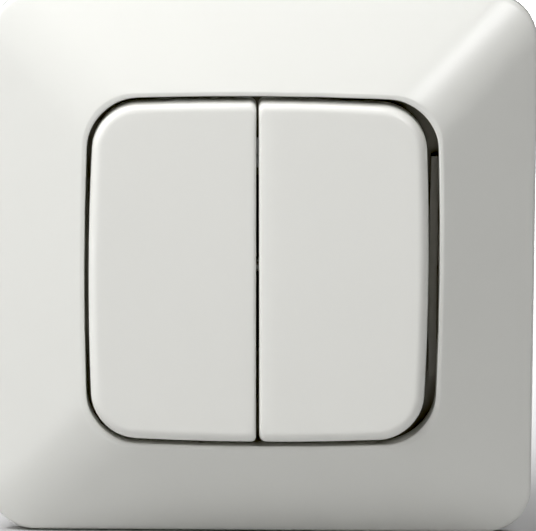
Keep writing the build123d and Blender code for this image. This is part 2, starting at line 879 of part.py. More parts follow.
def make_screws(places, shank_r, head_r, head, length):
    # Slotted cheese heads on the plate, shanks into the wall
    with BuildPart() as screws:
        with BuildSketch(front_plane(0, plate_thick)):
            with Locations(*places):
                Circle(head_r)
        extrude(amount=head)
        with BuildSketch(front_plane(0, plate_thick)):
            with Locations(*places):
                Circle(shank_r)
        extrude(amount=-length)
        with BuildSketch(front_plane(0, plate_thick + head)):
            with Locations(*places):
                Rectangle(2 * head_r, screw_slot, rotation=screw_slot_turn)
        extrude(amount=-head / 2, mode=Mode.SUBTRACT)
    return screws.part


assembly_screws = make_screws(
    [(sx * screw_x, sz * screw_z) for sx, sz in screw_places],
    screw_r,
    screw_head_r,
    screw_head,
    screw_length,
)
assembly_screws.label = "assembly_screws"
export_step(assembly_screws, "parts/assembly_screws.step")

foot_bottom = claw_bead_h - claw_depth
nut_top = foot_bottom - claw_nut_gap
claw_screws = make_screws(
    [(-claw_x, -claw_z), (claw_x, claw_z)],
    claw_screw_r,
    claw_head_r,
    claw_head,
    plate_thick - nut_top + claw_nut_height + screw_spare,
)
claw_screws.label = "claw_screws"
export_step(claw_screws, "parts/claw_screws.step")

with BuildPart() as claw_nuts:
    with BuildSketch(front_plane(0, nut_top)):
        with Locations((-claw_x, -claw_z), (claw_x, claw_z)):
            Rectangle(claw_nut, claw_nut)
            Circle(claw_screw_r + press_clearance, mode=Mode.SUBTRACT)
    extrude(amount=-claw_nut_height)
claw_nuts.part.label = "claw_nuts"
export_step(claw_nuts.part, "parts/claw_nuts.step")


def make_claw(side):
    # A bead hooked behind the plate, a leg with teeth and a forked foot round the screw
    leg_in = claw_leg_x - claw_thick / 2
    leg_out = claw_leg_x + claw_thick / 2
    foot_end = claw_x - claw_screw_r - 2 * claw_play
    section = Plane(origin=(0, 0, side * claw_z), x_dir=(1, 0, 0), z_dir=(0, 0, -1))
    with BuildPart() as claw:
        with BuildSketch(section):
            with Locations((side * claw_leg_x, claw_bead_h)):
                Circle(claw_bead_r)
            with BuildLine():
                Polyline(
                    (side * leg_in, claw_bead_h),
                    (side * leg_out, claw_bead_h),
                    (side * leg_out, foot_bottom + 2.5 * claw_tooth_pitch),
                    (side * (leg_out + claw_tooth), foot_bottom + 2 * claw_tooth_pitch),
                    (side * leg_out, foot_bottom + 1.5 * claw_tooth_pitch),
                    (side * (leg_out + claw_tooth), foot_bottom + claw_tooth_pitch),
                    (side * leg_out, foot_bottom),
                    (side * foot_end, foot_bottom),
                    (side * foot_end, foot_bottom + claw_thick),
                    (side * leg_in, foot_bottom + claw_thick),
                    close=True,
                )
            make_face()
        extrude(amount=claw_width / 2, both=True)
        # Fork round the screw
        with BuildSketch(front_plane(0, foot_bottom)):
            with Locations((side * (foot_end + leg_in) / 2, side * claw_z)):
                Rectangle(leg_in - foot_end, 2 * (claw_screw_r + claw_play))
        extrude(amount=claw_thick, mode=Mode.SUBTRACT)
    return claw.part


claw_left = make_claw(-1)
claw_left.label = "claw_left"
export_step(claw_left, "parts/claw_left.step")
claw_right = make_claw(1)
claw_right.label = "claw_right"
export_step(claw_right, "parts/claw_right.step")
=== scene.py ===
import bpy
import json
import math
from mathutils import Matrix, Vector


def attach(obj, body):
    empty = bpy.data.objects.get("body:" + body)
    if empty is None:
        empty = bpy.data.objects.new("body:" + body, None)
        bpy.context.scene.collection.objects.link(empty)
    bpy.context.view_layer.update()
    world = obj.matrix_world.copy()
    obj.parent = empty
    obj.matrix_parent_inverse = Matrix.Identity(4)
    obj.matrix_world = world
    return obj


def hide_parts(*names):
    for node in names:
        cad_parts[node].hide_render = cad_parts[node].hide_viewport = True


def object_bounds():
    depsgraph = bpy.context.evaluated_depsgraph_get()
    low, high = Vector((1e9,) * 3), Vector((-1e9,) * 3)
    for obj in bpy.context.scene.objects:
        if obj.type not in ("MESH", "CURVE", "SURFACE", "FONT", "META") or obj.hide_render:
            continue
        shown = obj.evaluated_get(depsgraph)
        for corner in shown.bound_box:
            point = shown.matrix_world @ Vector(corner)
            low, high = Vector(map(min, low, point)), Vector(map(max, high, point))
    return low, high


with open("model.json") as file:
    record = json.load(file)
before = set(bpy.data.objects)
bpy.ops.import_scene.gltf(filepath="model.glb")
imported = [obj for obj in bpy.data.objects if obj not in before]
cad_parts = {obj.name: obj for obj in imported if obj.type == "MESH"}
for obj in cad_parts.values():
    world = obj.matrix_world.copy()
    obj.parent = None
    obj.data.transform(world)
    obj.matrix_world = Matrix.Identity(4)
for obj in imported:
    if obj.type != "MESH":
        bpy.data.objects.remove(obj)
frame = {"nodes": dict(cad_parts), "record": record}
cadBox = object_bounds()
print("frame loaded:", len(frame["nodes"]), "nodes")

mm = 0.001
near = 0.001 * mm  # nearer than this is the same place
smoothAngle = math.radians(35)


# Materials

def startMaterial(name, roughness, metallic):
    material = bpy.data.materials.new(name)
    material.use_nodes = True
    nodes = material.node_tree.nodes
    shader = nodes["Principled BSDF"]
    shader.inputs["Roughness"].default_value = roughness
    shader.inputs["Metallic"].default_value = metallic
    coords = nodes.new("ShaderNodeTexCoord")
    return material, nodes, material.node_tree.links, shader, coords.outputs["Object"]


def addNoise(nodes, links, coords, size, detail=2.0, stretch=(1, 1, 1)):
    # size is the width of one grain in metres, stretch draws it out along an axis
    mapping = nodes.new("ShaderNodeMapping")
    mapping.inputs["Scale"].default_value = [1 / s for s in stretch]
    links.new(coords, mapping.inputs["Vector"])
    noise = nodes.new("ShaderNodeTexNoise")
    noise.inputs["Scale"].default_value = 1 / size
    noise.inputs["Detail"].default_value = detail
    links.new(mapping.outputs["Vector"], noise.inputs["Vector"])
    return noise.outputs["Fac"]


def addRamp(nodes, links, factor, low, high, lowAt=0.1, highAt=0.9):
    ramp = nodes.new("ShaderNodeValToRGB")
    ramp.color_ramp.elements[0].position = lowAt
    ramp.color_ramp.elements[1].position = highAt
    ramp.color_ramp.elements[0].color = (*low, 1)
    ramp.color_ramp.elements[1].color = (*high, 1)
    links.new(factor, ramp.inputs["Fac"])
    return ramp.outputs["Color"]


def addRange(nodes, links, factor, low, high):
    span = nodes.new("ShaderNodeMapRange")
    span.inputs["From Min"].default_value = 0.1
    span.inputs["From Max"].default_value = 0.9
    span.inputs["To Min"].default_value = low
    span.inputs["To Max"].default_value = high
    links.new(factor, span.inputs["Value"])
    return span.outputs["Result"]


def addBump(nodes, links, shader, height, depth, strength):
    bump = nodes.new("ShaderNodeBump")
    bump.inputs["Strength"].default_value = strength
    bump.inputs["Distance"].default_value = depth
    links.new(height, bump.inputs["Height"])
    links.new(bump.outputs["Normal"], shader.inputs["Normal"])


def plasticMaterial(name, looks):
    material, nodes, links, shader, coords = startMaterial(name, looks["roughness"], 0)
    clouds = addNoise(nodes, links, coords, looks["cloudSize"], 2)
    links.new(addRamp(nodes, links, clouds, looks["dark"], looks["light"]), shader.inputs["Base Color"])
    smears = addNoise(nodes, links, coords, looks["smearSize"], 3)
    spread = looks["roughnessSpread"]
    links.new(
        addRange(nodes, links, smears, looks["roughness"] - spread, looks["roughness"] + spread),
        shader.inputs["Roughness"],
    )
    grain = addNoise(nodes, links, coords, looks["grainSize"], 3)
    addBump(nodes, links, shader, grain, looks["grainDepth"], looks["grainStrength"])
    shader.inputs["IOR"].default_value = looks["ior"]
    return material


def metalMaterial(name, looks):
    material, nodes, links, shader, coords = startMaterial(name, looks["roughness"], 1)
    clouds = addNoise(nodes, links, coords, looks["cloudSize"], 4)
    links.new(addRamp(nodes, links, clouds, looks["dark"], looks["light"]), shader.inputs["Base Color"])
    lines = addNoise(nodes, links, coords, looks["lineSize"], 3, looks["lineStretch"])
    spread = looks["roughnessSpread"]
    links.new(
        addRange(nodes, links, lines, looks["roughness"] - spread, looks["roughness"] + spread),
        shader.inputs["Roughness"],
    )
    addBump(nodes, links, shader, lines, looks["lineDepth"], looks["lineStrength"])
    return material


plasticLooks = {
    "frame_plastic": {
        "dark": (0.796, 0.797, 0.760), "light": (0.812, 0.813, 0.776),
        "roughness": 0.26, "roughnessSpread": 0.006,
        "cloudSize": 30 * mm, "smearSize": 24 * mm, "grainSize": 0.16 * mm, "grainDepth": 0.01 * mm,
        "grainStrength": 0.10, "ior": 1.52,
    },
    "rocker_plastic": {
        "dark": (0.850, 0.849, 0.810), "light": (0.866, 0.865, 0.826),
        "roughness": 0.28, "roughnessSpread": 0.008,
        "cloudSize": 28 * mm, "smearSize": 22 * mm, "grainSize": 0.16 * mm, "grainDepth": 0.01 * mm,
        "grainStrength": 0.08, "ior": 1.52,
    },
    "toggle_plastic": {
        "dark": (0.56, 0.56, 0.54), "light": (0.63, 0.63, 0.61), "roughness": 0.45, "roughnessSpread": 0.06,
        "cloudSize": 5 * mm, "smearSize": 2 * mm, "grainSize": 0.2 * mm, "grainDepth": 0.02 * mm,
        "grainStrength": 0.2, "ior": 1.48,
    },
    "cover_plastic": {
        "dark": (0.030, 0.030, 0.033), "light": (0.045, 0.045, 0.048),
        "roughness": 0.5, "roughnessSpread": 0.06,
        "cloudSize": 6 * mm, "smearSize": 2 * mm, "grainSize": 0.25 * mm, "grainDepth": 0.02 * mm,
        "grainStrength": 0.3, "ior": 1.5,
    },
    "base_plastic": {
        "dark": (0.47, 0.48, 0.48), "light": (0.54, 0.55, 0.55), "roughness": 0.5, "roughnessSpread": 0.06,
        "cloudSize": 7 * mm, "smearSize": 2.5 * mm, "grainSize": 0.3 * mm, "grainDepth": 0.02 * mm,
        "grainStrength": 0.3, "ior": 1.5,
    },
    "release_plastic": {
        "dark": (0.62, 0.20, 0.03), "light": (0.72, 0.26, 0.045), "roughness": 0.42, "roughnessSpread": 0.05,
        "cloudSize": 3 * mm, "smearSize": 1.2 * mm, "grainSize": 0.2 * mm, "grainDepth": 0.02 * mm,
        "grainStrength": 0.2, "ior": 1.5,
    },
}
metalLooks = {
    "plate_steel": {
        "dark": (0.225, 0.221, 0.206), "light": (0.265, 0.259, 0.241),
        "roughness": 0.42, "roughnessSpread": 0.08,
        "cloudSize": 4 * mm, "lineSize": 0.12 * mm, "lineStretch": (18, 18, 1), "lineDepth": 0.01 * mm,
        "lineStrength": 0.25,
    },
    "fastener_steel": {
        "dark": (0.50, 0.50, 0.50), "light": (0.66, 0.66, 0.66), "roughness": 0.28, "roughnessSpread": 0.08,
        "cloudSize": 1.2 * mm, "lineSize": 0.08 * mm, "lineStretch": (1, 6, 1), "lineDepth": 0.006 * mm,
        "lineStrength": 0.2,
    },
    "spring_steel": {
        "dark": (0.42, 0.42, 0.43), "light": (0.56, 0.56, 0.57), "roughness": 0.25, "roughnessSpread": 0.06,
        "cloudSize": 1 * mm, "lineSize": 0.06 * mm, "lineStretch": (8, 1, 1), "lineDepth": 0.004 * mm,
        "lineStrength": 0.2,
    },
    "contact_brass": {
        "dark": (0.66, 0.46, 0.16), "light": (0.80, 0.60, 0.26), "roughness": 0.30, "roughnessSpread": 0.08,
        "cloudSize": 2 * mm, "lineSize": 0.08 * mm, "lineStretch": (1, 1, 12), "lineDepth": 0.006 * mm,
        "lineStrength": 0.2,
    },
    "contact_silver": {
        "dark": (0.78, 0.78, 0.77), "light": (0.90, 0.90, 0.89), "roughness": 0.22, "roughnessSpread": 0.06,
        "cloudSize": 0.6 * mm, "lineSize": 0.05 * mm, "lineStretch": (1, 1, 1), "lineDepth": 0.004 * mm,
        "lineStrength": 0.15,
    },
}
finishes = {name: plasticMaterial(name, looks) for name, looks in plasticLooks.items()}
finishes.update({name: metalMaterial(name, looks) for name, looks in metalLooks.items()})
print("materials made:", len(finishes))

slotOf = {sub["node"]: sub["material_slot"] for sub in frame["record"]["subparts"]}
for nodeName, node in frame["nodes"].items():
    node.data.materials.clear()
    node.data.materials.append(finishes[slotOf[nodeName]])
print("nodes dressed:", len(slotOf))


# Modelling helpers

def startPiece():
    bpy.ops.object.select_all(action="DESELECT")


def takeUp(piece):
    startPiece()
    piece.select_set(True)
    bpy.context.view_layer.objects.active = piece


def selectWhere(piece, test):
    # picks the vertices whose place passes the test, with edges and faces following
    bpy.ops.mesh.select_all(action="DESELECT")
    bpy.ops.object.mode_set(mode="OBJECT")
    for vertex in piece.data.vertices:
        vertex.select = test(vertex.co)
    bpy.ops.object.mode_set(mode="EDIT")


def joinPieces(pieces):
    startPiece()
    for piece in pieces:
        piece.select_set(True)
    bpy.context.view_layer.objects.active = pieces[0]
    bpy.ops.object.join()
    return pieces[0]


def combine(piece, tool, operation):
    # cuts or adds the tool and takes it away
    takeUp(piece)
    step = piece.modifiers.new("combine", "BOOLEAN")
    step.operation = operation
    step.object = tool
    bpy.ops.object.modifier_apply(modifier="combine")
    bpy.data.objects.remove(tool)


def enlist(piece, looks):
    piece.data.materials.clear()
    piece.data.materials.append(finishes[looks["slot"]])
    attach(piece, looks["body"])
    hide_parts(looks["stands"])


def arcPoints(centre, radius, first, last, steps):
    angles = [first + (last - first) * step / steps for step in range(steps + 1)]
    return [(centre[0] + radius * math.cos(a), centre[1] + radius * math.sin(a)) for a in angles]


def bridgeRings(first, second):
    strip = joinPieces([first, second])
    bpy.ops.object.mode_set(mode="EDIT")
    bpy.ops.mesh.select_all(action="SELECT")
    bpy.ops.mesh.bridge_edge_loops()
    bpy.ops.object.mode_set(mode="OBJECT")
    return strip


def closeShell(piece):
    # seams merged, faces outward
    takeUp(piece)
    bpy.ops.object.mode_set(mode="EDIT")
    bpy.ops.mesh.select_all(action="SELECT")
    bpy.ops.mesh.remove_doubles(threshold=near)
    bpy.ops.mesh.select_all(action="SELECT")
    bpy.ops.mesh.normals_make_consistent(inside=False)
    bpy.ops.object.mode_set(mode="OBJECT")


def smoothShell(piece):
    takeUp(piece)
    bpy.ops.object.shade_smooth_by_angle(angle=smoothAngle)


def makeFinger(width, thick, length, barb):
    # a flat finger along Y with a wedge on its upper side at the end
    barbAt = (length - 2 * barb) * mm
    startPiece()
    bpy.ops.mesh.primitive_cube_add(
        size=1, location=(0, length / 2 * mm, -thick / 2 * mm), scale=(width * mm, length * mm, thick * mm),
    )
    finger = bpy.context.object
    bpy.ops.object.transform_apply(location=True, rotation=True, scale=True)
    bpy.ops.object.mode_set(mode="EDIT")
    bpy.ops.mesh.select_all(action="SELECT")
    bpy.ops.mesh.bisect(plane_co=(0, barbAt, 0), plane_no=(0, 1, 0))
    selectWhere(finger, lambda place: place.y > barbAt - near and place.z > -near)
    bpy.ops.mesh.extrude_region_move(TRANSFORM_OT_translate={"value": (0, 0, barb * mm)})
    selectWhere(finger, lambda place: place.y > barbAt + near and place.z > near)
    bpy.ops.transform.translate(value=(0, 0, -barb * mm))
    bpy.ops.object.mode_set(mode="OBJECT")
    closeShell(finger)
    return finger


def spreadCopies(piece, places):
    # one joined piece with a copy at each place
    copies = []
    for place in places:
        copy = piece.copy()
        copy.data = piece.data.copy()
        bpy.context.scene.collection.objects.link(copy)
        copy.data.transform(place)
        copies.append(copy)
    bpy.data.objects.remove(piece)
    return joinPieces(copies)


# Cover frame, with hips and a rim that run round its corners in one soft sweep

coverLooks = {
    "name": "cover_shell", "slot": "frame_plastic", "stands": "cover_frame", "body": "insert",
    "shift": 0.5, "half": 40.0, "openHalf": 25.9, "ridge": 9.9, "edge": 3.2,
    "edgeRound": 0.8, "rimRound": 0.5, "lipRound": 0.2, "outerCorner": 6.7, "openCorner": 7.0,
    "bow": 0.65, "wall": 1.8,
    "skirtWall": 1.4, "skirtEnd": 5.2, "ledge": 0.3, "support": 0.25,
    "cornerSteps": 14, "sideCuts": 5, "arcSteps": 5, "slopeSteps": 4,
    "hookSpacing": 22.0, "hookWidth": 5.0, "hookThick": 1.2,
    "hookBarb": 0.7, "hookTop": 6.2, "hookPlay": 0.15,
}


def coverSection(looks):
    # half width, height, corner radius and bow of each ring, once round the wall of the frame
    half, openHalf, wall = looks["half"], looks["openHalf"], looks["wall"]
    slope = (looks["ridge"] - looks["edge"]) / (half - openHalf)
    lean = math.atan(slope)
    upright = math.pi / 2 - lean
    edgeRound, rimRound, lipRound = looks["edgeRound"], looks["rimRound"], looks["lipRound"]
    edgeCentre = (half - edgeRound, looks["edge"] - edgeRound * math.tan(upright / 2))
    rimCentre = (openHalf + rimRound, looks["ridge"] - slope * rimRound - rimRound / math.cos(lean))
    lipCentre = (openHalf + lipRound, rimCentre[1] + rimRound - lipRound)
    edgeArc = arcPoints(edgeCentre, edgeRound, 0, upright, looks["arcSteps"])
    rimArc = arcPoints(rimCentre, rimRound, upright, math.pi / 2, looks["arcSteps"])
    lipArc = arcPoints(lipCentre, lipRound, math.pi / 2, math.pi, looks["arcSteps"])
    slopeFoot, slopeHead = edgeArc[-1][0] - looks["support"], rimArc[0][0] + looks["support"]
    steps = looks["slopeSteps"]
    across = [slopeFoot + (slopeHead - slopeFoot) * step / steps for step in range(steps + 1)]
    slopeLine = [(x, looks["ridge"] - slope * (x - openHalf)) for x in across]
    lipEnd = [(openHalf, lipArc[-1][1] - looks["support"]), (openHalf, looks["skirtEnd"])]
    foot = [(half, 0), (half, edgeCentre[1] - looks["support"])]
    outside = foot + edgeArc + slopeLine + rimArc + lipArc + lipEnd
    rings = []
    for x, height in outside:
        run = (x - openHalf) / (half - openHalf)
        corner = looks["openCorner"] + (looks["outerCorner"] - looks["openCorner"]) * run
        rings.append((x, height, corner, looks["bow"] * (1 - run)))
    wallDrop = wall / math.cos(lean)
    skirt, ledge = looks["skirtWall"], looks["skirtWall"] + looks["ledge"]
    roof = looks["ridge"] - slope * ledge - wallDrop
    for grow, height in ((skirt, looks["skirtEnd"]), (skirt, roof), (ledge, roof)):
        rings.append((openHalf + grow, height, looks["openCorner"] + grow, looks["bow"]))
    for height in (looks["edge"] + slope * wall - wallDrop, 0):
        rings.append((half - wall, height, looks["outerCorner"] - wall, 0))
    return rings


def layRing(half, height, corner, bow, looks):
    # a square with rounded corners, whose sides are then bowed out by a barrel warp
    side = (half - bow) * mm
    startPiece()
    bpy.ops.mesh.primitive_plane_add(size=2 * side)
    ring = bpy.context.object
    bpy.ops.object.mode_set(mode="EDIT")
    bpy.ops.mesh.delete(type="ONLY_FACE")
    bpy.ops.mesh.select_all(action="SELECT")
    bpy.ops.mesh.subdivide(number_cuts=looks["sideCuts"])
    bpy.ops.mesh.edge_face_add()
    selectWhere(ring, lambda place: min(abs(place.x), abs(place.y)) > side - near)
    bpy.ops.mesh.bevel(offset=corner * mm, segments=looks["cornerSteps"], affect="VERTICES")
    bpy.ops.mesh.select_all(action="SELECT")
    bpy.ops.mesh.delete(type="ONLY_FACE")
    bpy.ops.object.mode_set(mode="OBJECT")
    for vertex in ring.data.vertices:
        u, v = vertex.co.x / side, vertex.co.y / side
        across, up = u * (side + bow * mm * (1 - v * v)), v * (side + bow * mm * (1 - u * u))
        vertex.co = (looks["shift"] * mm + across, -height * mm, up)
    return ring


def layStrip(first, second, looks):
    return bridgeRings(layRing(*first, looks), layRing(*second, looks))


def makeCover(looks):
    rings = coverSection(looks)
    pairs = zip(rings, rings[1:] + rings[:1])
    cover = joinPieces([layStrip(first, second, looks) for first, second in pairs])
    cover.name = looks["name"]
    closeShell(cover)
    length = looks["hookTop"] + looks["hookPlay"] + 2 * looks["hookBarb"]
    hook = makeFinger(looks["hookWidth"], looks["hookThick"], length, looks["hookBarb"])
    outer = looks["openHalf"] + looks["skirtWall"] - looks["hookPlay"]
    places = []
    for turn in (0, math.pi):
        for side in (-0.5, 0.5):
            along = Matrix.Translation(((looks["shift"] + side * looks["hookSpacing"]) * mm, 0, 0))
            seat = Matrix.Translation((0, -looks["hookTop"] * mm, outer * mm))
            places.append(along @ Matrix.Rotation(turn, 4, "Y") @ seat)
    combine(cover, spreadCopies(hook, places), "UNION")
    smoothShell(cover)
    enlist(cover, looks)
    return cover


cover = makeCover(coverLooks)
print("cover made:", len(cover.data.polygons), "faces")


# Rockers, whose split runs fine and a little askew, with corners of their own

rockerLooks = {
    "slot": "rocker_plastic", "pivot": 3.0, "tilt": 2.5, "face": 8.0, "skirt": 6.2, "wall": 1.6, "drop": 0.2,
    "halfWidth": 24.75, "halfHeight": 25.05, "bow": 0.73, "corner": 6.15, "split": 0.225, "middle": 12.4875,
    "edgeRound": 1.5, "splitRound": 0.45, "support": 0.25, "crownWidth": 2.6, "crownSteps": 4,
    "arcSteps": 9, "cornerSteps": 10, "sideCuts": 7,
    "ribSpacing": 28.0, "ribThick": 1.2, "ribDepth": 2.6,
    "pegSpacing": 14.0, "pegWidth": 4.0, "pegThick": 3.0, "pegBarb": 0.5, "pegGrip": 1.92, "weld": 0.05,
}
rockerSides = {
    "left": {"sign": -1, "shift": -0.135, "lean": -0.0062, "topCorner": 1.0, "footCorner": 0.7,
             "crown": 0.02},
    "right": {"sign": 1, "shift": -0.165, "lean": -0.0094, "topCorner": 0.7, "footCorner": 1.0,
              "crown": 0.22},
}


def rockerSection(looks):
    # inset from the outer edge, inset from the split and height above the pin of each outline
    wall, face, bottom = looks["wall"], looks["face"], looks["face"] - looks["skirt"]
    rings = [(wall, wall, face - wall), (wall, wall, bottom), (0, 0, bottom)]
    rings.append((0, 0, face - looks["edgeRound"] - looks["support"]))
    edge, split = looks["edgeRound"], looks["splitRound"]
    for inset, sink in arcPoints((edge, edge), edge, math.pi, math.pi * 1.5, looks["arcSteps"]):
        short = max(split - sink, 0)
        rings.append((inset, split - math.sqrt(split * split - short * short), face - sink))
    spare = looks["crownWidth"] - split
    steps = looks["crownSteps"]
    for step in range(1, steps + 1):
        rings.append((edge + step * looks["support"], split + spare * step / steps, face))
    return rings


def layOutline(ring, side, looks):
    # one half of the bowed square, wide corners outside and tight ones at the split
    outerInset, splitInset, height = ring
    bow, sign = looks["bow"], side["sign"]
    farX, farY = looks["halfWidth"] - bow - outerInset, looks["halfHeight"] - bow - outerInset
    nearX = looks["split"] + splitInset
    startPiece()
    bpy.ops.mesh.primitive_plane_add(size=2 * mm)
    outline = bpy.context.object
    bpy.ops.object.mode_set(mode="EDIT")
    bpy.ops.transform.resize(value=((farX - nearX) / 2, farY, 1), center_override=(0, 0, 0))
    bpy.ops.transform.translate(value=(sign * (farX + nearX) / 2 * mm, 0, 0))
    outer, inner, end = farX * mm - near, nearX * mm + near, farY * mm - near
    corners = (
        (looks["corner"] - outerInset, lambda place: abs(place.x) > outer and abs(place.y) > end),
        (side["topCorner"], lambda place: abs(place.x) < inner and place.y > end),
        (side["footCorner"], lambda place: abs(place.x) < inner and place.y < -end),
    )
    for radius, test in corners:
        selectWhere(outline, test)
        bpy.ops.mesh.bevel(offset=radius * mm, segments=looks["cornerSteps"], affect="VERTICES")
    bpy.ops.mesh.select_all(action="SELECT")
    bpy.ops.mesh.delete(type="ONLY_FACE")
    selectWhere(outline, lambda place: abs(place.x) > outer or abs(place.x) < inner or abs(place.y) > end)
    bpy.ops.mesh.subdivide(number_cuts=looks["sideCuts"])
    bpy.ops.object.mode_set(mode="OBJECT")
    for vertex in outline.data.vertices:
        across, up = vertex.co.x / mm, vertex.co.y / mm
        u, v = across / farX, up / farY
        aside = (side["shift"] + side["lean"] * up) * (1 - abs(u))
        fall = max(1 - (abs(across) - looks["split"]) / looks["crownWidth"], 0)
        sunk = side["crown"] * fall * fall
        across += bow * u * (1 - v * v) + aside
        up += bow * v * (1 - u * u) - looks["drop"]
        vertex.co = Vector((across, up, height - sunk)) * mm
    return outline


def layCap(ring, side, looks):
    cap = layOutline(ring, side, looks)
    bpy.ops.object.mode_set(mode="EDIT")
    bpy.ops.mesh.select_all(action="SELECT")
    bpy.ops.mesh.edge_face_add()
    bpy.ops.object.mode_set(mode="OBJECT")
    return cap


def makeRib(seat, looks):
    depth = looks["ribDepth"] + looks["weld"]
    length = looks["halfWidth"] - 2 * looks["wall"]
    startPiece()
    bpy.ops.mesh.primitive_cube_add(
        size=1, location=(0, 0, (seat + looks["weld"] - depth / 2) * mm),
        scale=(length * mm, looks["ribThick"] * mm, depth * mm),
    )
    bpy.ops.object.transform_apply(location=True, rotation=True, scale=True)
    return bpy.context.object


def makeRocker(name, side, looks):
    rings = rockerSection(looks)
    strips = [layCap(rings[0], side, looks), layCap(rings[-1], side, looks)]
    for first, second in zip(rings, rings[1:]):
        strips.append(bridgeRings(layOutline(first, side, looks), layOutline(second, side, looks)))
    rocker = joinPieces(strips)
    rocker.name = "rocker_cap_" + name
    closeShell(rocker)
    seat, middle = looks["face"] - looks["wall"], side["sign"] * looks["middle"]
    rib = makeRib(seat, looks)
    ends = [Matrix.Translation((middle * mm, end * looks["ribSpacing"] / 2 * mm, 0)) for end in (-1, 1)]
    combine(rocker, spreadCopies(rib, ends), "UNION")
    reach = looks["weld"] + looks["pegGrip"] + 2 * looks["pegBarb"]
    peg = makeFinger(looks["pegWidth"], looks["pegThick"], reach, looks["pegBarb"])
    outward = (looks["pegSpacing"] + looks["pegThick"]) / 2
    foot = Matrix.Translation((0, outward * mm, (seat + looks["weld"]) * mm))
    root = foot @ Matrix.Rotation(-math.pi / 2, 4, "X")
    along = Matrix.Translation((middle * mm, 0, 0))
    ends = [along @ Matrix.Rotation(turn, 4, "Z") @ root for turn in (0, math.pi)]
    combine(rocker, spreadCopies(peg, ends), "UNION")
    smoothShell(rocker)
    rise = Matrix.Rotation(math.radians(90 - looks["tilt"]), 4, "X")
    rocker.data.transform(Matrix.Translation((0, -looks["pivot"] * mm, 0)) @ rise)
    stands = "rocker_" + name
    enlist(rocker, {"slot": looks["slot"], "body": stands + "_body", "stands": stands})
    return rocker


for sideName, side in rockerSides.items():
    rocker = makeRocker(sideName, side, rockerLooks)
    print("rocker made:", sideName, len(rocker.data.polygons), "faces")


# Claw screws, with the thread and the bevelled head that the plain solids leave out

clawScrewLooks = {
    "name": "claw_screw", "slot": "fastener_steel", "stands": "claw_screws", "body": "insert",
    "places": ((-22.7375, -5.0), (22.7375, 5.0)),
    "plateTop": 1.2, "headHeight": 1.5, "headRadius": 2.0, "headBevel": 0.3, "headSides": 40,
    "slotWidth": 0.6, "slotDepth": 0.75, "slotTurn": 35,
    "shankRadius": 1.25, "threadDepth": 0.22, "pitch": 0.45, "threadSides": 20,
    "tip": -21.9, "tipTaper": 0.75,
}


def windThread(looks):
    # one groove is drawn from point to point and wound down the shank
    pitch, depth = looks["pitch"] * mm, looks["threadDepth"] * mm
    root = looks["shankRadius"] * mm - depth
    top, tip = looks["plateTop"] * mm, looks["tip"] * mm
    startPiece()
    bpy.ops.mesh.primitive_plane_add(size=pitch, location=(0, 0, 0))
    shank = bpy.context.object
    bpy.ops.object.mode_set(mode="EDIT")
    bpy.ops.mesh.select_all(action="SELECT")
    bpy.ops.mesh.merge(type="CENTER")
    bpy.ops.transform.translate(value=(root, 0, tip - 2 * pitch))
    for across, along in ((0, 0.2), (depth, 0.3), (0, 0.2), (-depth, 0.3)):
        bpy.ops.mesh.extrude_region_move(TRANSFORM_OT_translate={"value": (across, 0, along * pitch)})
    bpy.ops.object.mode_set(mode="OBJECT")
    wind = shank.modifiers.new("wind", "SCREW")
    wind.axis = "Z"
    wind.screw_offset = pitch
    wind.iterations = math.ceil((top - tip) / pitch) + 4
    wind.steps = wind.render_steps = looks["threadSides"]
    bpy.ops.object.modifier_apply(modifier="wind")
    bpy.ops.object.mode_set(mode="EDIT")
    bpy.ops.mesh.select_all(action="SELECT")
    bpy.ops.mesh.remove_doubles(threshold=0.002 * mm)
    bpy.ops.mesh.select_all(action="SELECT")
    bpy.ops.mesh.bisect(plane_co=(0, 0, top), plane_no=(0, 0, 1), use_fill=True, clear_outer=True)
    bpy.ops.mesh.select_all(action="SELECT")
    bpy.ops.mesh.bisect(plane_co=(0, 0, tip), plane_no=(0, 0, 1), use_fill=True, clear_inner=True)
    selectWhere(shank, lambda place: place.z < tip + near)
    bpy.ops.transform.resize(value=(looks["tipTaper"], looks["tipTaper"], 1), center_override=(0, 0, tip))
    bpy.ops.mesh.select_all(action="SELECT")
    bpy.ops.mesh.normals_make_consistent(inside=False)
    bpy.ops.object.mode_set(mode="OBJECT")
    return shank


def turnHead(looks):
    top = (looks["plateTop"] + looks["headHeight"]) * mm
    startPiece()
    bpy.ops.mesh.primitive_cylinder_add(
        vertices=looks["headSides"], radius=looks["headRadius"] * mm, depth=looks["headHeight"] * mm,
        location=(0, 0, top - looks["headHeight"] * mm / 2),
    )
    head = bpy.context.object
    bpy.ops.object.transform_apply(location=True, rotation=True, scale=True)
    bpy.ops.object.mode_set(mode="EDIT")
    selectWhere(head, lambda place: place.z > top - near)
    bpy.ops.mesh.bevel(offset=looks["headBevel"] * mm, segments=3, affect="EDGES")
    bpy.ops.object.mode_set(mode="OBJECT")
    startPiece()
    bpy.ops.mesh.primitive_cube_add(size=1, location=(0, 0, top))
    cutter = bpy.context.object
    cutter.scale = (3 * looks["headRadius"] * mm, looks["slotWidth"] * mm, 2 * looks["slotDepth"] * mm)
    cutter.rotation_euler.z = math.radians(looks["slotTurn"])
    bpy.ops.object.transform_apply(location=True, rotation=True, scale=True)
    combine(head, cutter, "DIFFERENCE")
    return head


def makeClawScrews(looks):
    screw = joinPieces([turnHead(looks), windThread(looks)])
    screw.rotation_euler.x = math.radians(90)
    bpy.ops.object.transform_apply(location=True, rotation=True, scale=True)
    smoothShell(screw)
    for number, (across, up) in enumerate(looks["places"], 1):
        copy = screw.copy()
        copy.data = screw.data.copy()
        copy.name = looks["name"] + "_" + str(number)
        copy.data.transform(Matrix.Translation((across * mm, 0, up * mm)))
        bpy.context.scene.collection.objects.link(copy)
        enlist(copy, looks)
    bpy.data.objects.remove(screw)


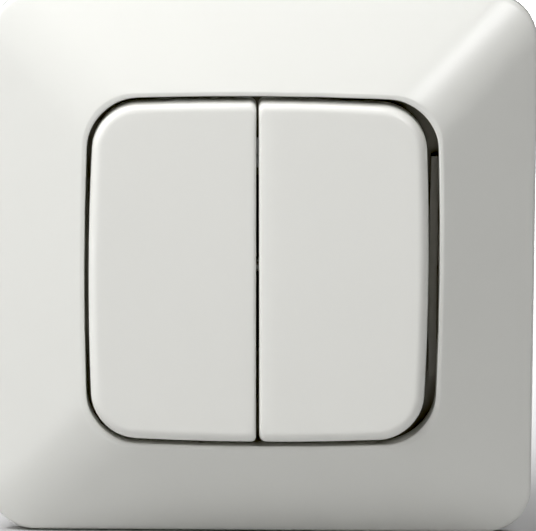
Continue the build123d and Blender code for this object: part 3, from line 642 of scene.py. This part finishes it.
makeClawScrews(clawScrewLooks)
print("claw screws turned:", len(clawScrewLooks["places"]))


# Floor

floorLooks = {"size": 4.0, "gap": 0.2 * mm, "dark": (0.49, 0.49, 0.49), "light": (0.51, 0.51, 0.51)}


def makeFloor(looks):
    startPiece()
    bpy.ops.mesh.primitive_plane_add(size=looks["size"], location=(0, 0, cadBox[0].z - looks["gap"]))
    floor = bpy.context.object
    floor.name = "floor"
    material, nodes, links, shader, coords = startMaterial("floor_paper", 0.8, 0)
    clouds = addNoise(nodes, links, coords, 0.3)
    links.new(addRamp(nodes, links, clouds, looks["dark"], looks["light"]), shader.inputs["Base Color"])
    floor.data.materials.append(material)


makeFloor(floorLooks)
print("floor laid")


# Light

lampLooks = {
    "key": {"azimuth": -60, "elevation": 58, "distance": 0.55, "size": 0.30, "power": 2.38, "spread": 180},
    "side": {"azimuth": -60, "elevation": 25, "distance": 0.55, "size": 0.30, "power": 0.66, "spread": 180},
    "near": {"azimuth": -45, "elevation": 74, "distance": 0.28, "size": 0.14, "power": 0.29, "spread": 180},
    "fill": {"azimuth": 26, "elevation": 30, "distance": 0.50, "size": 0.11, "power": 0.46, "spread": 180},
}
groundLooks = {
    "behind": {"place": (0, 0.62, 0.50), "size": 0.70, "power": 12.0, "spread": 80},
    "before": {"place": (0, -0.72, 0.50), "size": 0.70, "power": 2.0, "spread": 60},
    "left": {"place": (-0.72, 0, 0.50), "size": 0.70, "power": 2.5, "spread": 60},
    "right": {"place": (0.72, 0, 0.50), "size": 0.70, "power": 1.5, "spread": 60},
}
worldLooks = {"colour": (1.0, 1.0, 1.0), "strength": 0.0, "blackLevel": (0.007, 0.008, 0.011)}


def standAt(azimuth, elevation):
    # azimuth 0 is straight in front of the switch, 90 is on its right
    side, rise = math.radians(azimuth), math.radians(elevation)
    return Vector((math.sin(side) * math.cos(rise), -math.cos(side) * math.cos(rise), math.sin(rise)))


def makeLamp(name, place, aim, looks):
    lamp = bpy.data.lights.new(name, "AREA")
    lamp.shape = "SQUARE"
    lamp.size = looks["size"]
    lamp.energy = looks["power"]
    lamp.spread = math.radians(looks["spread"])
    holder = bpy.data.objects.new(name, lamp)
    bpy.context.scene.collection.objects.link(holder)
    holder.location = place
    holder.rotation_euler = (Vector(aim) - Vector(place)).to_track_quat("-Z", "Y").to_euler()


for lampName, looks in lampLooks.items():
    makeLamp(lampName, standAt(looks["azimuth"], looks["elevation"]) * looks["distance"], (0, 0, 0), looks)
for lampName, looks in groundLooks.items():
    makeLamp(lampName, looks["place"], (*looks["place"][:2], 0), looks)  # straight down on the floor
world = bpy.data.worlds.new("studio")
bpy.context.scene.world = world
world.use_nodes = True
backdrop = world.node_tree.nodes["Background"]
backdrop.inputs["Color"].default_value = (*worldLooks["colour"], 1)
backdrop.inputs["Strength"].default_value = worldLooks["strength"]
viewing = bpy.context.scene.view_settings
viewing.view_transform = "Standard"
viewing.use_curve_mapping = True
viewing.curve_mapping.black_level = worldLooks["blackLevel"]  # deep, slightly warm shadows in the gaps
viewing.curve_mapping.update()
print("lamps set:", len(lampLooks) + len(groundLooks))


# Camera

cameraLooks = {
    "target": (1.38 * mm, 0, -0.68 * mm), "azimuth": -0.05, "elevation": 10.1, "roll": 0.44,
    "distance": 0.80, "scale": 6.785,
}
photoWidth = 536


def makeCamera(looks):
    data = bpy.data.cameras.new("camera")
    camera = bpy.data.objects.new("camera", data)
    bpy.context.scene.collection.objects.link(camera)
    back = standAt(looks["azimuth"], looks["elevation"])
    turn = (-back).to_track_quat("-Z", "Y").to_matrix().to_4x4()
    roll = Matrix.Rotation(math.radians(looks["roll"]), 4, "Z")
    camera.matrix_world = Matrix.Translation(Vector(looks["target"]) + back * looks["distance"]) @ turn @ roll
    data.sensor_width = 36
    focalPixels = looks["scale"] * looks["distance"] / mm
    data.lens = focalPixels / photoWidth * data.sensor_width
    bpy.context.scene.camera = camera


makeCamera(cameraLooks)
print("camera set")
